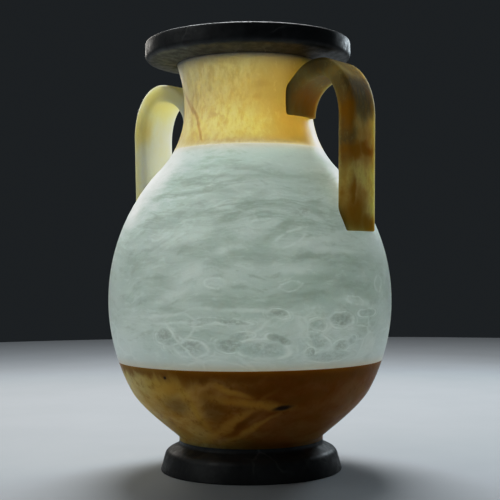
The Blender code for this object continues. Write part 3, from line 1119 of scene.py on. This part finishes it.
@dataclass(frozen=True)
class AmberAlabaster:
    """The bowl's brown stone: golden on one side and, as painted shade, darker and redder on the other, with
    slanting light streaks.

    Its shadows and streaks are strokes as BodyCurve.drawn reads them, chosen in the photograph. Its
    specks are rows as BodyCurve.lenses reads them.
    """

    curve: BodyCurve
    polish: Polish = Polish((1.0, 0.90, 0.55), shine=0.02)
    clear: Colour = (0.44, 0.30, 0.05)
    gold: Colour = (0.57, 0.50, 0.19)
    brown: Colour = (0.20, 0.082, 0.006)
    # Colour of the side that painted shade makes darker and redder
    shaded_red: Colour = (0.22, 0.070, 0.003)
    streak: Colour = (0.51, 0.40, 0.08)
    speck: Colour = (0.03, 0.02, 0.02)

    # The ground: slanting golden clouds, fewer of them on the side that painted shade makes darker and redder
    # Painted shade: darker and redder towards one side
    red_shade_angle: float = 35.0
    red_shade_bend: Bend = Bend(14.0, 0.03, 3.0)
    red_shade_side: Step = Step(-0.058, 0.028)
    cloud_bend: Bend = Bend(16.0, 0.02)
    slant: Point = (20.0, 35.0, 0.0)
    slant_layering: float = 1.6
    golden: Clouds = Clouds(Noise(20.0, 5.0, 0.6), Step(0.42, 0.66))
    red_shade_share: float = 0.85

    # Brown clouds and light streaks at the front
    soft_bends: Bends = (Bend(40.0, 0.004), Bend(110.0, 0.0012, 4.0))
    shadow_fade: Step = Step(2.0, 0.3, 0.0, 0.6)
    shadows: Strokes = (
        (214, 408, 9, 11.0, 0), (176, 405, 9, 7.0, 0), (243, 424, 16, 2.2, 38), (265, 390, 30, 4.5, 0),
        (185, 378, 8, 8.0, 0), (300, 400, 26, 4.4, 10),
    )
    streak_fade: Step = Step(2.2, 0.2, 0.0, 0.7)
    streaks: Strokes = (
        (225, 428, 25.7, 2.6, 36), (248, 431, 20, 1.8, 28), (196, 412, 18, 2.7, -55),
        (182, 392, 12, 3.7, -60), (250, 404, 30, 3.2, -8), (232, 392, 15, 2.2, -18),
        (160, 388, 12, 9.0, 0), (150, 374, 10, 5.0, 0),
    )

    # The ragged brown edge under the joint, the fine grain and two dark specks
    ragged: Noise = Noise(70.0, 4.0, 0.6)
    ragged_layering: float = 0.15
    ragged_depth: float = 0.022
    top_edge: Step = Step(-0.022, -0.014, 0.0, 0.85)
    grain_layering: float = 0.8
    grain: Clouds = Clouds(Noise(190.0, 6.0, 0.7), Step(0.50, 0.70, 0.0, 0.5))
    speck_bend: Bend = Bend(200.0, 0.0008)
    speck_fade: Step = Step(1.7, 0.5, 0.0, 0.95)
    specks: Rows = ((-40.2, 0.0520, 0.0054, 0.0015, 8), (-92.3, 0.0710, 0.0011, 0.0010, 0))

    def make(self) -> bpy.types.Material:
        """Makes the stone.

        Returns:
            Its material.
        """
        bench = Bench(Slot.AMBER.value)
        bent = bench.warped(bench.place, self.cloud_bend)
        soft = bench.warped(bench.place, *self.soft_bends)
        colour = self._ground(bench, bent)
        shadows = bench.marks(soft, self.curve.drawn(self.shadows), self.shadow_fade)
        colour = bench.blend(shadows, colour, self.brown)
        streaks = bench.marks(soft, self.curve.drawn(self.streaks), self.streak_fade)
        colour = bench.blend(streaks, colour, self.streak)
        ragged = bench.noise(bench.upright(bent, self.ragged_layering), self.ragged)
        ragged = bench.math("MULTIPLY_ADD", ragged, -self.ragged_depth, bench.height(bench.place))
        edge = bench.between(ragged, self.top_edge.raised(self.curve.bowl_top))
        colour = bench.blend(edge, colour, self.brown)
        grain = bench.clouds(bench.upright(soft, self.grain_layering), self.grain)
        colour = bench.blend(grain, colour, self.brown)
        specks = bench.marks(bench.warped(bench.place, self.speck_bend), self.curve.lenses(self.specks),
                             self.speck_fade)
        return self.polish.lay(bench, bench.blend(specks, colour, self.speck))

    def _ground(self, bench: Bench, bent: Value) -> Value:
        """The stone's slanting golden clouds, darker and redder towards one side as painted shade.

        Args:
            bench: The material's nodes so far.
            bent: Coordinates that are broadly bent.

        Returns:
            The clouds.
        """
        # Painted shade towards one side, with fewer golden clouds there
        across = bench.across(self.red_shade_angle, bench.warped(bench.place, self.red_shade_bend))
        shaded_red = bench.between(across, self.red_shade_side)
        slanted = bench.mapped(bent, (1.0, 1.0, self.slant_layering), self.slant)
        golden = bench.times(bench.clouds(slanted, self.golden),
                             bench.math("SUBTRACT", 1.0, bench.times(shaded_red, self.red_shade_share)))
        return bench.blend(golden, bench.blend(shaded_red, self.clear, self.shaded_red), self.gold)


@dataclass(frozen=True)
class DarkStone:
    """The foot's and the rim's near-black stone with faint grey veins, satin."""

    deep: Colour = (0.008, 0.009, 0.010)
    grey: Colour = (0.026, 0.028, 0.029)
    vein: Colour = (0.12, 0.12, 0.115)
    cloud_bend: Bend = Bend(28.0, 0.016, 4.0)
    clouds: Clouds = Clouds(Noise(30.0, 6.0, 0.6), Step(0.40, 0.64))
    crack_cells: float = 26.0
    crack: Band = Band(0.0, 0.035)
    crack_patches: Clouds = Clouds(Noise(34.0, 3.0), Step(0.50, 0.66, 0.0, 0.55))
    worn: Noise = Noise(160.0, 6.0, 0.7)
    gloss: Step = Step(0.35, 0.65, 0.40, 0.64)
    relief: float = 0.0002
    refraction: float = 1.5
    shine: float = 0.3

    def make(self) -> bpy.types.Material:
        """Makes the stone.

        Returns:
            Its material.
        """
        bench = Bench(Slot.DARK.value)
        bent = bench.warped(bench.place, self.cloud_bend)
        colour = bench.blend(bench.clouds(bent, self.clouds), self.deep, self.grey)
        lines = bench.times(bench.band(bench.cells(bent, self.crack_cells), self.crack),
                            bench.clouds(bench.place, self.crack_patches))
        worn = bench.noise(bench.place, self.worn)
        return bench.finish(bench.blend(lines, colour, self.vein), bench.between(worn, self.gloss),
                            bench.bump(worn, self.relief), IOR=self.refraction, Specular_IOR_Level=self.shine)


class Lathe:
    """Turns outlines into round stones."""

    STEPS = 192
    MERGE = 1e-6
    SHARP = math.radians(35.0)

    @classmethod
    def turn(cls, name: str, outline: Sequence[Sequence[float]], closed: bool) -> bpy.types.Object:
        """Turns one stone.

        Args:
            name: The object's name.
            outline: Points as (radius, height).
            closed: Whether the last point joins the first; otherwise both ends lie on the axis.

        Returns:
            The stone.
        """
        shape = bmesh.new()
        corners = [shape.verts.new((radius, 0.0, height)) for radius, height in outline]
        edges = [shape.edges.new(pair) for pair in zip(corners, corners[1:])]
        if closed:
            edges.append(shape.edges.new((corners[-1], corners[0])))
        bmesh.ops.spin(shape, geom=corners + edges, cent=(0.0, 0.0, 0.0), axis=(0.0, 0.0, 1.0),
                       dvec=(0.0, 0.0, 0.0), angle=math.tau, steps=cls.STEPS, use_merge=True,
                       use_normal_flip=False, use_duplicate=False)
        bmesh.ops.remove_doubles(shape, verts=shape.verts, dist=cls.MERGE)
        bmesh.ops.recalc_face_normals(shape, faces=shape.faces)
        return cls.keep(name, shape)

    @classmethod
    def keep(cls, name: str, shape: bmesh.types.BMesh) -> bpy.types.Object:
        """Makes a shape an object with smooth faces and crisp edges.

        Args:
            name: The object's name.
            shape: The shape, which is freed.

        Returns:
            The object.
        """
        mesh = bpy.data.meshes.new(name)
        shape.to_mesh(mesh)
        shape.free()
        mesh.shade_smooth()
        mesh.set_sharp_from_angle(angle=cls.SHARP)
        piece = bpy.data.objects.new(name, mesh)
        bpy.context.scene.collection.objects.link(piece)
        return piece


@dataclass(frozen=True)
class PaintedJointGlow:
    """The bed of clear glue between two stones, with a painted glow that stands in for the hollow's light at
    the joint.
    """

    height: float
    # Painted glow: the glue's emission, which stands in for the hollow's light
    glow: Colour
    colour: Colour = (0.86, 0.83, 0.76)
    roughness: float = 0.4
    level: float = 0.999  # least part of a level face's normal along Z
    within: float = 1e-4  # how far from the joint's height a face may lie

    def lay(self, piece: bpy.types.Object, name: str) -> None:
        """Puts glue with a painted glow on the level faces at the joint's height.

        Args:
            piece: The stone.
            name: The glue's name.
        """
        bench = Bench(name)
        # Painted glow: the glue emits light though it is no lamp
        bench.finish(self.colour, self.roughness, Emission_Color=(*self.glow, 1.0), Emission_Strength=1.0)
        bench.material.cycles.emission_sampling = "NONE"
        piece.data.materials.append(bench.material)
        last = len(piece.data.materials) - 1
        for face in piece.data.polygons:
            if abs(face.normal.z) > self.level and abs(face.center.z - self.height) < self.within:
                face.material_index = last


def dress(piece: bpy.types.Object, node: str, material: bpy.types.Material) -> None:
    """Puts a finished piece in the place of its solid.

    Args:
        piece: The piece.
        node: The solid that it stands for.
        material: Its finish.
    """
    piece.data.materials.clear()
    piece.data.materials.append(material)
    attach(piece, BODY)
    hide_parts(node)
    piece.data.calc_loop_triangles()
    log.info("%s: %d triangles, stands for %s", piece.name, len(piece.data.loop_triangles), node)


@dataclass
class TurnedBody:
    """The three hollow alabasters: bowl, belly and neck."""

    curve: BodyCurve
    floor: float = 0.012  # thickness of the bowl's floor
    joint: float = 0.00003
    bowl_steps: tuple[int, int] = (40, 26)  # up the outer and the inner wall, as for the next two
    collar_steps: int = 5
    belly_steps: tuple[int, int] = (72, 56)
    neck_steps: tuple[int, int] = (40, 32)
    # Painted glow of the joint faces: emission that stands in for the hollow's light
    glow_on_bowl: Colour = (0.07, 0.07, 0.06)
    glow_under_belly: Colour = (0.06, 0.05, 0.03)
    glow_on_belly: Colour = (0.28, 0.26, 0.21)
    glow_under_neck: Colour = (0.21, 0.20, 0.165)

    def bowl(self) -> bpy.types.Object:
        """Turns the bowl, closed below.

        Returns:
            The bowl.
        """
        curve = self.curve
        base, floor = curve.foot_top + self.joint, curve.foot_top + self.floor
        collar = curve.foot_top + curve.collar_height
        outside, inside = self.bowl_steps
        outline = [(0.0, floor), *curve.wall_line(floor, curve.bowl_top, inside, -curve.wall)]
        outline += reversed(curve.wall_line(curve.fillet_top, curve.bowl_top, outside))
        outline += reversed(curve.wall_line(collar, curve.fillet_top, self.collar_steps)[:-1])
        outline += [(curve.collar_radius, base), (0.0, base)]
        return Lathe.turn("bowl_stone", outline, closed=False)

    def belly(self) -> bpy.types.Object:
        """The belly, open above and below."""
        return self._ring("belly_stone", self.curve.bowl_top, self.curve.belly_top, *self.belly_steps)

    def neck(self) -> bpy.types.Object:
        """The neck, open above and below."""
        return self._ring("neck_stone", self.curve.belly_top, self.curve.neck_top, *self.neck_steps)

    def _ring(self, name: str, low: float, high: float, outside: int, inside: int) -> bpy.types.Object:
        """A stone with an outer and an inner wall.

        Args:
            name: The object's name.
            low: Height of the joint under it.
            high: Height of the joint over it.
            outside: Steps up the outer wall.
            inside: Steps up the inner wall.

        Returns:
            The stone.
        """
        base = low + self.joint
        outline = [*reversed(self.curve.wall_line(base, high, outside)),
                   *self.curve.wall_line(base, high, inside, -self.curve.wall)]
        return Lathe.turn(name, outline, closed=True)

    def build(self, white: bpy.types.Material, honey: bpy.types.Material,
              amber: bpy.types.Material) -> None:
        """Builds and dresses the three stones.

        Args:
            white: The belly's finish.
            honey: The neck's finish.
            amber: The bowl's finish.
        """
        low, high = self.curve.bowl_top, self.curve.belly_top
        bowl, belly, neck = self.bowl(), self.belly(), self.neck()
        dress(bowl, "bowl", amber)
        dress(belly, "belly", white)
        dress(neck, "neck", honey)
        # Painted glow on the joint faces
        PaintedJointGlow(low, self.glow_on_bowl).lay(bowl, "painted_glow_on_bowl")
        PaintedJointGlow(low, self.glow_under_belly).lay(belly, "painted_glow_under_belly")
        PaintedJointGlow(high, self.glow_on_belly).lay(belly, "painted_glow_on_belly")
        PaintedJointGlow(high, self.glow_under_neck).lay(neck, "painted_glow_under_neck")


@dataclass
class DarkEnds:
    """The foot under the bowl and the rim over the neck."""

    curve: BodyCurve
    foot_collar: float = 0.0028  # upright part under the bowl
    foot_cove: float = 0.0014  # hollow corner below it
    foot_shoulder: float = 0.0093  # how far the sloping top runs out past the collar
    foot_side: float = 0.0138  # height of the nearly upright side
    foot_spread: float = 0.0039  # how far the side leans out down to the ground
    collar_round: float = 0.0003
    collar_steps: int = 2
    shoulder_round: float = 0.0030
    ground_round: float = 0.0012
    rim_overhang: float = 0.0223  # past the neck's top
    rim_undercut: float = 0.0030  # rise of the sloping underside from the neck to the edge
    edge_round: float = 0.0026
    nose_round: float = 0.0038
    mouth_round: float = 0.0024
    edge_steps: int = 8
    nose_steps: int = 10
    joint: float = 0.00003

    def foot(self) -> bpy.types.Object:
        """Turns the foot: flat below, with a leaning side and a sloping top up to a collar.

        Returns:
            The foot.
        """
        radius, top = self.curve.collar_radius, self.curve.foot_top
        collar, cove = (radius, top), (radius, top - self.foot_collar)
        shoulder = (radius + self.foot_shoulder, self.foot_side)
        ground = (shoulder[0] + self.foot_spread, 0.0)
        outline = [(0.0, top), *rounded((0.0, top), collar, cove, self.collar_round, self.collar_steps),
                   *rounded(collar, cove, shoulder, self.foot_cove),
                   *rounded(cove, shoulder, ground, self.shoulder_round, self.edge_steps),
                   *rounded(shoulder, ground, (0.0, 0.0), self.ground_round), (0.0, 0.0)]
        return Lathe.turn("foot_stone", outline, closed=False)

    def rim(self) -> bpy.types.Object:
        """Turns the rim: a ring with a sloping underside and rounded edges.

        Returns:
            The rim.
        """
        curve = self.curve
        base = curve.neck_top + self.joint
        neck, mouth = curve.radius(curve.neck_top), curve.beside(curve.neck_top, -curve.wall)
        edge, lip = (neck + self.rim_overhang, curve.rim_top), (mouth, curve.rim_top)
        nose = (edge[0], base + self.rim_undercut)
        outline = [*rounded((mouth, base), lip, edge, self.mouth_round),
                   *rounded(lip, edge, nose, self.edge_round, self.edge_steps),
                   *rounded(edge, nose, (neck, base), self.nose_round, self.nose_steps),
                   (neck, base), (mouth, base)]
        return Lathe.turn("rim_stone", outline, closed=True)

    def build(self, dark: bpy.types.Material) -> None:
        """Builds and dresses both stones.

        Args:
            dark: Their finish.
        """
        dress(self.foot(), "foot", dark)
        dress(self.rim(), "rim", dark)


@dataclass
class StrapHandle:
    """A strap handle: a long leg down to the belly, a bend under the rim and a toe on the neck."""

    curve: BodyCurve
    side: Side
    crown_gap: float  # from the neck's top down to the crown
    leg_proud: float  # how far the leg's outer face stands off the belly at its end
    width: float = 0.0346
    head_width: float = 0.0320
    thickness: float = 0.0108
    crown_thickness: float = 0.0122
    edge_round: float = 0.0035
    end_round: float = 0.0011
    leg_lean: float = 0.0013  # how much further out the leg is under the bend than at its end
    leg_drop: float = 0.0588  # from the neck's foot down to the leg's end
    toe_proud: float = 0.0016  # how far the toe's face stands off the neck at its end
    toe_rise: float = 0.0206  # from the neck's foot up to the toe's end
    crown_setback: float = 0.0250  # from the leg's outer face in to the crown
    outer_bend: float = 0.0375  # height of the outer bend, and of the next two likewise
    inner_bend: float = 0.0278
    head_bend: float = 0.0200
    head_angle: float = math.radians(50.0)  # how far the head's bend turns past the crown
    head_drop: float = 0.0110  # from the crown down to where the head's upper line meets the neck
    into_neck: float = 0.0060  # how far the blank reaches into the neck before it is fitted
    hidden_round: float = 0.0060  # corner in there
    fit_gap: float = 0.00003
    leg_steps: int = 12
    bend_steps: int = 22
    head_steps: int = 8
    back_steps: int = 6
    edge_steps: int = 6
    end_steps: int = 3
    cuts: tuple[float, ...] = (-0.3, -0.15, 0.0, 0.15, 0.3)  # lengthwise cuts, as shares of the width
    broad: float = 0.9  # least part of a side's normal along Y
    upright: float = 0.5  # greatest part of an upright face's normal along Z
    nearly: float = 1e-6  # how far off a height a level edge may lie
    cut_merge: float = 1e-7  # how far off a cut a point may lie to count as on it
    weld: float = 5e-6  # points closer than this are joined after the fit

    @property
    def leg_end(self) -> float:
        """Height of the leg's sawn end."""
        return self.curve.belly_top - self.leg_drop

    @property
    def toe_end(self) -> float:
        """Height of the toe's sawn end."""
        return self.curve.belly_top + self.toe_rise

    @property
    def toe_face(self) -> float:
        """Distance of the toe's outer face from the axis."""
        return self.curve.radius(self.toe_end) + self.toe_proud

    @property
    def reach(self) -> float:
        """Distance of the leg's outer face from the axis, under the bend."""
        return self.curve.radius(self.leg_end) + self.leg_proud + self.leg_lean

    def lines(self) -> tuple[Outline, Outline]:
        """The outer and the inner line of the side view, with as many points each.

        Returns:
            Both lines, from the leg's end over the bend and into the neck to the toe's end.
        """
        reach, low = self.reach, self.reach - self.leg_lean
        middle = reach - self.crown_setback
        crown = self.curve.neck_top - self.crown_gap
        back = math.sqrt(self.curve.waist_radius ** 2 - (self.width / 2) ** 2) - self.into_neck
        under, inside = crown - self.crown_thickness, reach - self.thickness
        fall = self.head_bend * math.tan(self.head_angle)
        length = ((middle - self.curve.radius(crown - self.head_drop)) * fall
                  / (self.head_drop + self.head_bend * (1 / math.cos(self.head_angle) - 1)))
        bend = elliptic((middle, crown - self.outer_bend), reach - middle, self.outer_bend, 0, 90,
                        self.bend_steps)
        head = elliptic((middle, crown - self.head_bend), length, self.head_bend, 90,
                        90 + math.degrees(self.head_angle), self.head_steps)
        into = (back, head[-1][1] - (head[-1][0] - back) * fall / length)
        hollow = elliptic((middle, under - self.inner_bend), inside - middle, self.inner_bend, 0, 90,
                          self.bend_steps)
        throat = elliptic((middle, self.toe_end), middle - self.toe_face, under - self.toe_end, 90, 180,
                          self.head_steps + self.back_steps + 2)
        outer = [*self._run((low, self.leg_end), bend[0], self.leg_steps), *bend, *head[1:],
                 *rounded(head[-1], into, (back, self.toe_end), self.hidden_round, self.back_steps),
                 (back, self.toe_end)]
        inner = [*self._run((low - self.thickness, self.leg_end), hollow[0], self.leg_steps), *hollow,
                 *throat[1:]]
        return outer, inner

    @staticmethod
    def _run(start: Sequence[float], end: Sequence[float], count: int) -> Outline:
        """Points along a straight run, without its end."""
        return [tuple(s + (e - s) * i / count for s, e in zip(start, end)) for i in range(count)]

    def blank(self) -> bmesh.types.BMesh:
        """The strap before it is fitted to the body.

        Returns:
            Its shape, with the long edges and the sawn ends rounded.
        """
        shape = bmesh.new()
        rails = []
        for line in self.lines():
            corners = [shape.verts.new((radius, -self.width / 2, height)) for radius, height in line]
            rails += [shape.edges.new(pair) for pair in zip(corners, corners[1:])]
        bmesh.ops.bridge_loops(shape, edges=rails)
        grown = bmesh.ops.extrude_face_region(shape, geom=shape.faces[:])["geom"]
        bmesh.ops.translate(shape, verts=[item for item in grown if isinstance(item, bmesh.types.BMVert)],
                            vec=(0.0, self.width, 0.0))
        bmesh.ops.recalc_face_normals(shape, faces=shape.faces)
        self._round(shape, self._long_edges(shape), self.edge_round, self.edge_steps)
        for end in (self.leg_end, self.toe_end):
            rim = [edge for edge in shape.edges if self._level(edge, end)
                   and any(abs(face.normal.z) < self.upright for face in edge.link_faces)]
            self._round(shape, rim, self.end_round, self.end_steps)
        for share in self.cuts:
            bmesh.ops.bisect_plane(shape, geom=shape.verts[:] + shape.edges[:] + shape.faces[:],
                                   dist=self.cut_merge, plane_co=(0.0, share * self.width, 0.0),
                                   plane_no=(0.0, 1.0, 0.0))
        self._taper(shape)
        return shape

    def _level(self, edge: bmesh.types.BMEdge, height: float) -> bool:
        """Whether an edge lies level at a height."""
        return all(abs(vert.co.z - height) < self.nearly for vert in edge.verts)

    def _long_edges(self, shape: bmesh.types.BMesh) -> list[bmesh.types.BMEdge]:
        """Finds the edges that run along the strap, between its broad faces and its sides.

        Args:
            shape: The strap's shape, still with sharp edges.

        Returns:
            The edges.
        """
        found = []
        for edge in shape.edges:
            flat = [abs(face.normal.y) > self.broad for face in edge.link_faces]
            at_end = self._level(edge, self.leg_end) or self._level(edge, self.toe_end)
            if len(flat) == 2 and flat[0] != flat[1] and not at_end:
                found.append(edge)
        return found

    @staticmethod
    def _round(shape: bmesh.types.BMesh, edges: list[bmesh.types.BMEdge], size: float,
               segments: int) -> None:
        """Rounds edges.

        Args:
            shape: The shape.
            edges: Its edges to round.
            size: How far from each edge the rounding starts.
            segments: How many steps it has.
        """
        bmesh.ops.bevel(shape, geom=edges, offset=size, offset_type="OFFSET", segments=segments,
                        profile=0.5, affect="EDGES", material=-1, clamp_overlap=False)

    def _taper(self, shape: bmesh.types.BMesh) -> None:
        """Narrows the strap towards the neck.

        Args:
            shape: The strap's shape.
        """
        leg = self.reach - self.leg_lean - self.thickness
        for vert in shape.verts:
            share = min(max((leg - vert.co.x) / (leg - self.toe_face), 0.0), 1.0)
            vert.co.y *= 1 - share * (1 - self.head_width / self.width)

    def build(self, cutter: bpy.types.Object) -> None:
        """Builds the handle, fits it to the body and dresses it.

        Args:
            cutter: The body's outside as a solid.
        """
        node = f"handle_{self.side.name.lower()}"
        shape = self.blank()
        bmesh.ops.rotate(shape, verts=shape.verts, cent=(0.0, 0.0, 0.0),
                         matrix=Matrix.Rotation(self.side.value, 3, "Z"))
        blank = Lathe.keep(f"{node}_blank", shape)
        fit = blank.modifiers.new("fit", "BOOLEAN")
        fit.operation, fit.solver, fit.object = "DIFFERENCE", "EXACT", cutter
        mesh = bpy.data.meshes.new_from_object(blank.evaluated_get(bpy.context.evaluated_depsgraph_get()))
        bpy.data.objects.remove(blank, do_unlink=True)
        fitted = bmesh.new()
        fitted.from_mesh(mesh)
        bmesh.ops.remove_doubles(fitted, verts=fitted.verts, dist=self.weld)
        honey = HoneyAlabaster.for_handle(self.curve, self.side).make()
        dress(Lathe.keep(f"strap_{node}", fitted), node, honey)


@dataclass
class Handles:
    """Both strap handles."""

    curve: BodyCurve
    right_gap: float = 0.0039  # crown_gap and leg_proud of the right handle, then of the left one
    right_proud: float = 0.0014
    left_gap: float = 0.0085
    left_proud: float = 0.0008
    cutter_steps: int = 96

    def build(self) -> None:
        """Builds, fits and dresses both handles."""
        curve = self.curve
        line = curve.wall_line(curve.bowl_top, curve.neck_top, self.cutter_steps, StrapHandle.fit_gap)
        outline = [(0.0, line[-1][1]), *reversed(line), (0.0, line[0][1])]
        cutter = Lathe.turn("body_cutter", outline, closed=False)
        cutter.data.transform(Matrix.Rotation(math.pi / Lathe.STEPS, 4, "Z"))
        for side, gap, proud in ((Side.RIGHT, self.right_gap, self.right_proud),
                                 (Side.LEFT, self.left_gap, self.left_proud)):
            StrapHandle(curve, side, gap, proud).build(cutter)
        bpy.data.objects.remove(cutter, do_unlink=True)


@dataclass(frozen=True)
class SoftLight:
    """A square lamp with a diffuser. Its turn, away and height are as Studio.seen_from reads them."""

    name: str
    turn: float
    away: float
    height: float
    size: float
    power: float
    colour: Colour
    aim: Point = (0.0, 0.0, 0.15)

    def hang(self, place: Point) -> None:
        """Hangs the lamp.

        Args:
            place: Where it hangs.
        """
        data = bpy.data.lights.new(self.name, "AREA")
        data.shape, data.size = "SQUARE", self.size
        data.energy, data.color = self.power, self.colour
        lamp = bpy.data.objects.new(self.name, data)
        lamp.location = place
        lamp.rotation_euler = (Vector(self.aim) - Vector(place)).to_track_quat("-Z", "Y").to_euler()
        lamp.visible_camera = False
        bpy.context.scene.collection.objects.link(lamp)


@dataclass(frozen=True)
class InnerGlow:
    """A soft ball of light in the hollow, for the light that gets in through the stone and the mouth."""

    turn: float
    away: float
    height: float
    radius: float
    power: float

    def hang(self, place: Point) -> None:
        """Puts the light in its place.

        Args:
            place: Where it is.
        """
        data = bpy.data.lights.new("inner_glow", "POINT")
        data.shadow_soft_size, data.energy = self.radius, self.power
        lamp = bpy.data.objects.new("inner_glow", data)
        lamp.location = place
        lamp.visible_camera = False
        bpy.context.scene.collection.objects.link(lamp)


@dataclass(frozen=True)
class FilmShoulder:
    """How bright tones are eased towards white, as film does; tones up to 0.56 stay as they are."""

    white: float = 3.0  # light that becomes white
    all_channels: int = 3  # the curve that acts on all colours alike
    steps: tuple[tuple[float, float], ...] = ((0.2, 0.2), (0.4, 0.4), (0.56, 0.56), (0.8, 0.705),
                                              (1.1, 0.8), (1.6, 0.885), (2.2, 0.95))

    def develop(self) -> None:
        """Sets the scene's view up."""
        view = bpy.context.scene.view_settings
        view.view_transform = "Standard"
        view.use_curve_mapping = True
        view.curve_mapping.white_level = (self.white, self.white, self.white)
        view.curve_mapping.extend = "HORIZONTAL"
        curve = view.curve_mapping.curves[self.all_channels]
        for light, tone in self.steps:
            curve.points.new(light / self.white, tone)
        view.curve_mapping.update()


@dataclass(frozen=True)
class Studio:
    """The floor, the backdrop, the lamps and the camera."""

    view: Viewpoint = Viewpoint()
    sensor: float = 36.0
    floor_radius: float = 1.4
    floor_colour: Colour = (0.36, 0.385, 0.41)
    floor_shade: float = 0.96  # tone of its darker clouds
    floor_clouds: Clouds = Clouds(Noise(9.0, 5.0, 0.6), Step(0.35, 0.65))
    floor_roughness: float = 0.75
    floor_segments: int = 128
    backdrop: Colour = (0.012, 0.0142, 0.016)
    lamps: tuple[SoftLight, ...] = (
        SoftLight("key", 182.0, 0.52, 1.05, size=0.5, power=14.5, colour=(0.96, 0.985, 1.0)),
        SoftLight("window", 142.0, 0.75, 0.46, size=0.2, power=1.7, colour=(0.80, 0.92, 1.0)),
        SoftLight("side", -148.0, 0.75, 0.50, size=0.3, power=1.3, colour=(1.0, 0.96, 0.89)),
        SoftLight("fill", -72.0, 1.1, 0.95, size=0.9, power=3.0, colour=(0.97, 1.0, 0.99)),
    )
    glow: InnerGlow = InnerGlow(-100.0, 0.026, 0.185, radius=0.025, power=0.39)

    def build(self) -> None:
        """Sets the whole studio up."""
        self._floor()
        self._world()
        for lamp in (*self.lamps, self.glow):
            lamp.hang(self.view.seen_from(lamp.turn, lamp.away, lamp.height))
        self._camera()

    def _floor(self) -> None:
        """A plain pale floor."""
        shape = bmesh.new()
        bmesh.ops.create_circle(shape, cap_ends=True, segments=self.floor_segments, radius=self.floor_radius)
        floor = Lathe.keep("floor", shape)
        bench = Bench("pale_floor")
        shaded = tuple(channel * self.floor_shade for channel in self.floor_colour)
        colour = bench.blend(bench.clouds(bench.place, self.floor_clouds), self.floor_colour, shaded)
        floor.data.materials.append(bench.finish(colour, self.floor_roughness))

    def _world(self) -> None:
        """A plain backdrop that also fills the shadows."""
        world = bpy.data.worlds.new("backdrop")
        world.use_nodes = True
        background = world.node_tree.nodes["Background"].inputs
        background["Color"].default_value = (*self.backdrop, 1.0)
        background["Strength"].default_value = 1.0
        bpy.context.scene.world = world

    def _camera(self) -> None:
        """The camera, at the photograph's viewing angle."""
        view = self.view
        data = bpy.data.cameras.new("camera")
        data.sensor_width = self.sensor
        data.lens = self.sensor * view.focal_pixels / view.frame_pixels
        data.shift_x = view.axis_left / view.frame_pixels
        camera = bpy.data.objects.new("camera", data)
        camera.location = view.seen_from(0.0, view.distance, view.eye_height)
        ahead = Vector((-math.sin(view.azimuth) * math.cos(view.look_up),
                        math.cos(view.azimuth) * math.cos(view.look_up), math.sin(view.look_up)))
        level = ahead.to_track_quat("-Z", "Y").to_matrix().to_4x4()
        camera.rotation_euler = (level @ Matrix.Rotation(-view.roll, 4, "Z")).to_euler()
        bpy.context.scene.collection.objects.link(camera)
        bpy.context.scene.camera = camera


def main() -> None:
    """Builds the vase, piece by piece, and its studio."""
    logging.basicConfig(level=logging.INFO, format="%(message)s")
    FilmShoulder().develop()
    curve = BodyCurve()
    white = WhiteAlabaster(curve).make()
    honey = HoneyAlabaster(curve).make()
    amber = AmberAlabaster(curve).make()
    TurnedBody(curve).build(white, honey, amber)
    DarkEnds(curve).build(DarkStone().make())
    Handles(curve).build()
    Studio().build()


if __name__ == "__main__":
    main()
